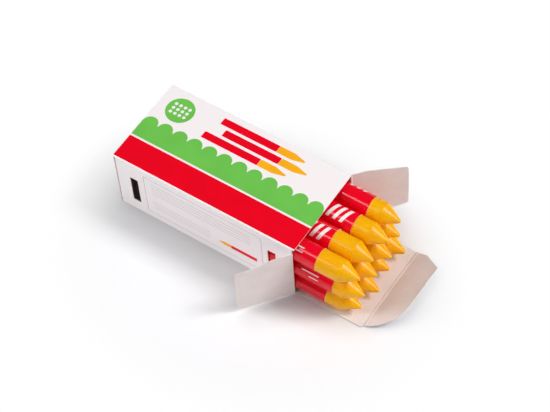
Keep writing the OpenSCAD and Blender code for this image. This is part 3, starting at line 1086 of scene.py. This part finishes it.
@dataclass
class Crayon:
    """A cast wax stick in a rolled paper sleeve.

    Attributes:
        name: The body's name.
        heel: The middle of its flat end.
        bare: Bare wax between the tip and the sleeve.
        lap: Where the sleeve's lap lies, in degrees from +Y towards +Z.
        mark: Where the printed bars lie, likewise.
        seed: What sets its own small unevenness.
        radius: The wax's radius.
        length: The wax's length.
        cone: The cone's length.
        shoulder_ease: How far each way the cone's shoulder is eased.
        tip_r: The round at the cone's tip.
        heel_bare: Bare wax behind the sleeve.
        paper: The sleeve's thickness.
        glue: The thickness of the glue on the wax.
        lap_glue: The same under the lap.
        lap_w: The lap's width.
        ragged: How far the sleeve's front edge is ragged.
        waves: The cone's two waves out of round, each how often round, how far in shares of
            its radius, and over how many mm along it per radian.
        lean: How far the tip may lean each way.
    """

    name: str
    heel: Vector3
    bare: float
    lap: float
    mark: float
    seed: int
    radius: float = 6.25
    length: float = CRAYON_L
    cone: float = 10.0
    shoulder_ease: float = 0.5
    tip_r: float = 1.1
    heel_bare: float = 1.5
    paper: float = 0.15
    glue: float = 0.02
    lap_glue: float = 0.005
    lap_w: float = 5.0
    ragged: float = 0.12
    waves: tuple[Vector3, Vector3] = ((2, 0.003, 23.0), (3, 0.002, 9.0))
    lean: float = 0.2

    def profile(self) -> Array:
        """The stick's outline from heel to tip as (distance, radius).

        A bevelled heel, a straight body, a shoulder eased along a parabola, a straight cone
        and a round tip that the cone touches.

        Returns:
            The outline's points.
        """
        r, shoulder = self.radius, self.length - self.cone
        middle = self.length - self.tip_r
        reach = math.hypot(r, middle - shoulder)
        touch = math.acos(self.tip_r / reach) - math.atan2(middle - shoulder, r)
        tip = np.linspace(touch, math.pi / 2, 9)
        tip = np.stack([middle + self.tip_r * np.sin(tip), self.tip_r * np.cos(tip)], 1)
        tip[-1, 1] = 0
        corner = np.array((shoulder, r))
        slope = (tip[0] - corner) / np.linalg.norm(tip[0] - corner)
        first = np.array((shoulder - self.shoulder_ease, r))
        last = corner + self.shoulder_ease * slope
        soft = np.linspace(0, 1, 7)[:, None]
        ease = (1 - soft) ** 2 * first + 2 * soft * (1 - soft) * corner + soft ** 2 * last
        cone = last + np.linspace(0, 1, 14)[1:-1, None] * (tip[0] - last)
        body = np.stack([np.linspace(3, shoulder - 2, 26), np.full(26, r)], 1)
        return np.concatenate([np.array(HEEL), body, ease, cone, tip])

    def stick(self, finish: bpy.types.Material) -> bpy.types.Object:
        """Turns the outline about the crayon's axis.

        The cone's rings are out of round by a few hundredths of a millimetre, in two waves
        round it that turn over along it, and the cone leans with the square of the distance
        from its shoulder, as trimmed castings do. The body is slimmer by the larger wave, so
        it stays clear of the sleeve. The poles are single points.

        Args:
            finish: The wax.

        Returns:
            The stick.
        """
        noise = np.random.default_rng(self.seed)
        outline = self.profile()
        rings, around = outline[1:-1], 72
        turn = np.linspace(0, 2 * math.pi, around, endpoint=False)
        phase = noise.uniform(0, 2 * math.pi, 4)
        along, shoulder = rings[:, :1], self.length - self.cone
        out = np.ones((len(rings), around))
        for (often, deep, apart), (start, lag) in zip(self.waves, phase.reshape(2, 2)):
            out += deep * np.sin(often * turn + start) * np.sin(along / apart + lag)
        out = np.where(along < shoulder - 1, 1 - self.waves[0][1], out)
        past = np.clip((outline[:, 0] - shoulder) / self.cone, 0, 1) ** 2
        lean = past[:, None] * noise.uniform(-self.lean, self.lean, 2)
        radius = rings[:, 1:] * out
        y = radius * np.cos(turn) + lean[1:-1, :1]
        z = radius * np.sin(turn) + lean[1:-1, 1:]
        x = np.broadcast_to(along, y.shape)
        poles = np.concatenate([outline[[0, -1], :1], lean[[0, -1]]], 1)
        points = np.concatenate([np.dstack([x, y, z]).reshape(-1, 3), poles]) + self.heel
        grid = np.arange(len(rings) * around).reshape(len(rings), around)
        ahead = np.roll(grid, -1, 1)
        quads = np.stack([grid[:-1], ahead[:-1], ahead[1:], grid[1:]], -1).reshape(-1, 4)
        first, last = np.full(around, grid.size), np.full(around, grid.size + 1)
        fans = np.concatenate([np.stack([first, ahead[0], grid[0]], -1),
                               np.stack([last, grid[-1], ahead[-1]], -1)])
        faces = quads.tolist() + fans.tolist()
        return new_piece(self.name + "_stick", points, faces, np.zeros(len(faces)), [finish], {})

    def sleeve(self) -> Sheet:
        """Rolls the paper once round the wax, with its edge lapped over its start.

        The angle runs over a full turn and the lap, and the radius steps up by one paper
        where the lap begins. The front edge is ragged by one slow wave. Three slanted white
        bars are printed near the front, and two thin lines on the other side.

        Returns:
            The sleeve's sheet.
        """
        noise = np.random.default_rng(self.seed + 100)
        bore = self.radius + self.glue
        lap = self.lap_w / bore
        start, mark = math.radians(self.lap) - lap / 2, math.radians(self.mark)
        lines = mark + math.pi + np.array(LINE_STATIONS) / bore
        full, step = 2 * math.pi, 0.12
        turn = start + np.sort(np.concatenate([
            np.linspace(0, full - step, 60)[:-1], np.linspace(full - step, full + lap, 14),
            np.mod(lines - start, full)]))
        over = smooth((turn - turn[-1] + lap + step) / step) * (self.paper + self.lap_glue)
        front, fade = self.length - self.bare, 4.0
        x = stations([self.heel_bare, self.heel_bare + 1,
                      *(front - behind for behind in PRINT_STATIONS), front], 1.0)
        wave = self.ragged * np.sin(turn + noise.uniform(0, 6))
        grid_x = x[:, None] + wave * smooth((x - front + fade) / fade)[:, None]
        radial = np.stack([np.zeros_like(turn), np.cos(turn), np.sin(turn)], -1)
        back = grid_x[..., None] * X_AXIS + (bore + over)[:, None] * radial + self.heel
        face = back + self.paper * radial
        along = front - grid_x
        arc, other = (np.broadcast_to((np.mod(turn - middle, full) - math.pi) * bore, along.shape)
                      for middle in (mark - math.pi, mark))
        fields = blank_fields(along.shape, NO_CREASE)
        fields[Ink.WHITE.field] = np.maximum.reduce([
            self.bars(along, arc), *(bar(along, other, low, high) for low, high in THIN_LINES)])
        return Sheet(self.name + "_wrap", face, back, fields=fields)

    @staticmethod
    def bars(along: Array, arc: Array) -> Array:
        """Three slanted bars, 2.1 mm wide and 9 mm long, 4 mm apart.

        Args:
            along: Distance back from the sleeve's front edge.
            arc: Distance round the crayon from the bars' middle.

        Returns:
            Depth inside the bars.
        """
        first, slant, apart, half_wide, half_long = 5.5, 0.35, 4.0, 1.05, 4.5
        slid = along - first - slant * arc
        lane = np.clip(np.round(slid / apart), 0, 2)
        return np.minimum(half_wide - np.abs(slid - apart * lane), half_long - np.abs(arc))

    def build(self, wax: bpy.types.Material, paper: list[bpy.types.Material]) -> None:
        """Builds the stick and its sleeve on the crayon's body.

        Args:
            wax: The stick's finish.
            paper: The sleeve's finishes: its print, its back and its edge.
        """
        settle(self.stick(wax), self.name + "_wax", self.name)
        settle(self.sleeve().build(paper), self.name + "_sleeve", self.name)


@dataclass
class Crayons:
    """The twelve crayons: four columns from the near side, three rows from the top.

    Attributes:
        drawn_out: How far a tip stands out of the carton before its stagger.
        sleeve_d: A sleeve's outer diameter.
        column_pitch, row_pitch: How far apart columns and rows lie.
        wall_gap, floor_gap: What the first column and the lowest row leave free.
        stagger: How far each crayon stands further out, by column and row.
        bare: Bare wax at its front.
        marks: Where its printed bars lie, in degrees.
    """

    drawn_out: float = 35.5
    sleeve_d: float = 12.84
    column_pitch: float = 13.49
    row_pitch: float = 12.99
    wall_gap: float = 0.3
    floor_gap: float = 0.15
    stagger: tuple[Vector3, ...] = ((-0.5, 2, 0), (-1, 1, 2.5), (0, 1.5, 0), (-1.5, -2, 1.5))
    bare: tuple[Vector3, ...] = ((23.5, 16, 18.5), (23, 20, 21), (19.5, 19, 20), (17, 20, 19))
    marks: tuple[Vector3, ...] = ((298, 330, 30), (112, 150, 120), (98, 95, 150), (15, 130, 100))

    def build(self) -> None:
        """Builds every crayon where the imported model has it."""
        wax = WAX.material()
        edge = PAPER_BACK.material()
        paper = [LABEL_PRINT.material(), edge, edge]
        tip_x, inset = CARTON_L / 2 + self.drawn_out, BOARD + self.sleeve_d / 2
        first_y, lowest_z = -CARTON_W / 2 + inset + self.wall_gap, inset + self.floor_gap
        for column, letter in enumerate("abcd"):
            for row in range(3):
                heel = (tip_x + self.stagger[column][row] - CRAYON_L,
                        first_y + column * self.column_pitch,
                        lowest_z + (2 - row) * self.row_pitch)
                lap = 90 * ((column + 2 * row) % 4) - 45
                Crayon(f"crayon_{letter}{row + 1}", heel, self.bare[column][row], lap,
                       self.marks[column][row], 3 * column + row).build(wax, paper)


# Studio


def stand(thing: bpy.types.Object, axes: tuple[Array, Array, Array], place: Array) -> None:
    """Puts a lamp or a camera in the scene.

    Args:
        thing: The lamp or camera.
        axes: What its own X, Y and Z become: right, up and back.
        place: Where it stands, in metres.
    """
    bpy.context.scene.collection.objects.link(thing)
    rows = [[*row, p] for row, p in zip(np.stack(axes, 1).tolist(), place)]
    thing.matrix_world = Matrix([*rows, [0, 0, 0, 1]])


@dataclass(frozen=True)
class Softbox:
    """A rectangular lamp that looks at the carton.

    Attributes:
        name: Its name.
        place: Where it stands, in metres.
        size: Its length along the crayons and its width across, in metres.
        power: Its power in watts.
        aim: The point that it looks at, in metres.
    """

    name: str
    place: Vector3
    size: tuple[float, float]
    power: float
    aim: Vector3 = (0.02, 0, 0.02)

    def build(self) -> None:
        """Adds the lamp, with its length as nearly along the crayons as its aim allows."""
        data = bpy.data.lights.new(self.name, "AREA")
        data.shape = "RECTANGLE"
        data.energy = self.power
        data.size, data.size_y = self.size
        back = np.subtract(self.place, self.aim)
        back /= np.linalg.norm(back)
        right = X_AXIS - back[0] * back
        right /= np.linalg.norm(right)
        lamp = bpy.data.objects.new(self.name, data)
        stand(lamp, (right, np.cross(back, right), back), self.place)


# Two lamps on the open end, a small one that draws the streaks along the crayons, and a low one
# from the rear, which the near flap keeps off the mouth
SOFTBOXES = (Softbox("right_softbox", (1.10, 0.70, 1.52), (0.5, 0.5), 17.6),
             Softbox("front_softbox", (1.50, 0.30, 1.00), (1.0, 1.0), 9.4),
             Softbox("left_softbox", (-0.69, -0.92, 1.64), (0.4, 0.45), 4.4),
             Softbox("rear_softbox", (-1.45, -0.85, 0.85), (0.8, 0.8), 15.8))


@dataclass
class Studio:
    """A white floor, soft light and the photograph's camera.

    Attributes:
        azimuth, elevation, roll: The camera's angles, in degrees.
        distance, shift_right, shift_up: Where it stands, in mm along its own axes.
        focal_px, frame_px, sensor: Its focal length and picture width in pixels, and its
            sensor in mm.
        floor_half: Half of the floor's side, in metres.
        contact: How far the painted contact shadow reaches, in metres.
        darkest: The share of the floor's colour left where that painted shadow is deepest.
        ring: Where the ellipse lies on which the floor turns white, in metres, and its scale.
        white: Where the white begins and is full, in metres from the ellipse's centre.
        even_light: The world's light on the object.
        backdrop: The height over which mirrored rays fade from backdrop to ceiling.
        ceiling: What mirrored rays meet overhead.
    """

    azimuth: float = 37.636
    elevation: float = 55.528
    roll: float = -4.967
    distance: float = 1071.45
    shift_right: float = 20.703
    shift_up: float = 1.826
    focal_px: float = 2000.0
    frame_px: float = 550.0
    sensor: float = 36.0
    floor_half: float = 6.0
    contact: float = 0.025
    darkest: float = 0.64
    ring: tuple[Vector3, Vector3] = ((-0.02, 0.022, 0), (0.8, 1, 1))
    white: tuple[float, float] = (0.056, 0.1)
    even_light: float = 0.21
    backdrop: tuple[float, float] = (0.02, 0.1)
    ceiling: float = 0.07

    def camera(self) -> None:
        """Sets the camera by its azimuth, elevation, roll, distance and aim."""
        a, e, r = (math.radians(v) for v in (self.azimuth, self.elevation, self.roll))
        right = np.array((math.cos(a), math.sin(a), 0))
        back = np.array((math.sin(a) * math.cos(e), -math.cos(a) * math.cos(e), math.sin(e)))
        up = np.cross(back, right)
        right, up = (math.cos(r) * right + math.sin(r) * up,
                     math.cos(r) * up - math.sin(r) * right)
        place = (right * self.shift_right + up * self.shift_up + back * self.distance) * MM
        data = bpy.data.cameras.new("photo_camera")
        data.sensor_width = self.sensor
        data.lens = self.focal_px * self.sensor / self.frame_px
        camera = bpy.data.objects.new("photo_camera", data)
        stand(camera, (right, up, back), place)
        bpy.context.scene.camera = camera

    @staticmethod
    def looked_at(tree: bpy.types.NodeTree) -> bpy.types.NodeSocket:
        """Tells rays that are seen, straight, mirrored or through glass, from lighting rays.

        Args:
            tree: The node tree of a floor or a world.

        Returns:
            One for a ray that is seen, and nought for the others.
        """
        path = tree.nodes.new("ShaderNodeLightPath")
        seen = path.outputs["Is Camera Ray"]
        for kind in ("Is Glossy Ray", "Is Transmission Ray"):
            seen = add(tree, "Math", {0: seen, 1: path.outputs[kind]}, operation="MAXIMUM")
        return seen

    def floor(self) -> None:
        """Lays a wide white floor that takes the shadow and, further off, is seen as white.

        Close to the carton the floor's colour, as rays that see it meet it, is painted
        darker the more of its sky is hidden: a painted contact shadow. The white starts on an
        ellipse round the carton and its lid.
        """
        material, tree = new_tree("white_studio_floor")
        place = add(tree, "TexCoord", {}, "Object")
        grain = add(tree, "TexNoise", {"Vector": place, "Scale": 300.0, "Detail": 2.0})
        tint = add(tree, "MixRGB", {"Fac": grain, "Color1": linear("#FBFBFD"),
                                    "Color2": linear("#FDFDFF")})
        # Painted shade: for seen rays the floor's colour darkens as nearby occlusion grows
        sky = add(tree, "AmbientOcclusion", {"Distance": self.contact}, "AO", samples=32)
        near = add(tree, "MapRange", {"Value": sky, "From Min": 0.5, "From Max": 0.95,
                                      "To Min": self.darkest, "To Max": 1.0})
        seen = self.looked_at(tree)
        shade = add(tree, "MapRange", {"Value": seen, "To Min": 1.0, "To Max": near})
        shaded = add(tree, "HueSaturation", {"Value": shade, "Color": tint})
        matt = add(tree, "BsdfDiffuse", {"Color": shaded}, "BSDF")
        ring = add(tree, "Mapping", {"Vector": place, "Location": self.ring[0],
                                     "Scale": self.ring[1]})
        away = add(tree, "VectorMath", {0: ring}, "Value", operation="LENGTH")
        start, full = self.white
        fade = add(tree, "MapRange", {"Value": away, "From Min": start, "From Max": full},
                   interpolation_type="SMOOTHSTEP")
        fade = add(tree, "Math", {0: fade, 1: seen}, operation="MULTIPLY")
        white = add(tree, "Emission", {"Color": (1, 1, 1, 1), "Strength": 1.0}, "Emission")
        add_output(tree, add(tree, "MixShader", {0: fade, 1: matt, 2: white}, "Shader"))
        mesh = bpy.data.meshes.new("floor")
        far, below = self.floor_half, -0.1 * MM
        corners = [(-far, -far), (far, -far), (far, far), (-far, far)]
        mesh.from_pydata([(*corner, below) for corner in corners], [], [(0, 1, 2, 3)])
        mesh.materials.append(material)
        floor = bpy.data.objects.new("floor", mesh)
        bpy.context.scene.collection.objects.link(floor)

    def world(self) -> None:
        """Lights the scene evenly.

        The camera sees white. Mirrored rays meet a white backdrop low down and a dim
        ceiling above it.
        """
        world = bpy.data.worlds.new("studio")
        bpy.context.scene.world = world
        world.use_nodes = True
        tree = world.node_tree
        tree.nodes.clear()
        way = add(tree, "TexCoord", {}, "Generated")
        height = add(tree, "SeparateXYZ", {0: way}, "Z")
        low, high = self.backdrop
        room = add(tree, "MapRange", {"Value": height, "From Min": low, "From Max": high,
                                      "To Min": 1.0, "To Max": self.ceiling})
        camera = add(tree, "LightPath", {}, "Is Camera Ray")
        room = add(tree, "Math", {0: room, 1: camera}, operation="MAXIMUM")
        strength = add(tree, "MapRange", {"Value": self.looked_at(tree),
                                          "To Min": self.even_light, "To Max": room})
        light = add(tree, "Background", {"Color": (1, 1, 1, 1), "Strength": strength},
                    "Background")
        add_output(tree, light, "World")

    def build(self) -> None:
        """Sets up the floor, the light and the camera."""
        bpy.context.scene.view_settings.view_transform = "Standard"
        self.floor()
        self.world()
        for softbox in SOFTBOXES:
            softbox.build()
        self.camera()


def main() -> None:
    """Builds the carton, the crayons and the studio."""
    logging.basicConfig(level=logging.INFO, format="%(name)s %(message)s")
    Carton().build()
    Crayons().build()
    Studio().build()


if __name__ == "__main__":
    main()
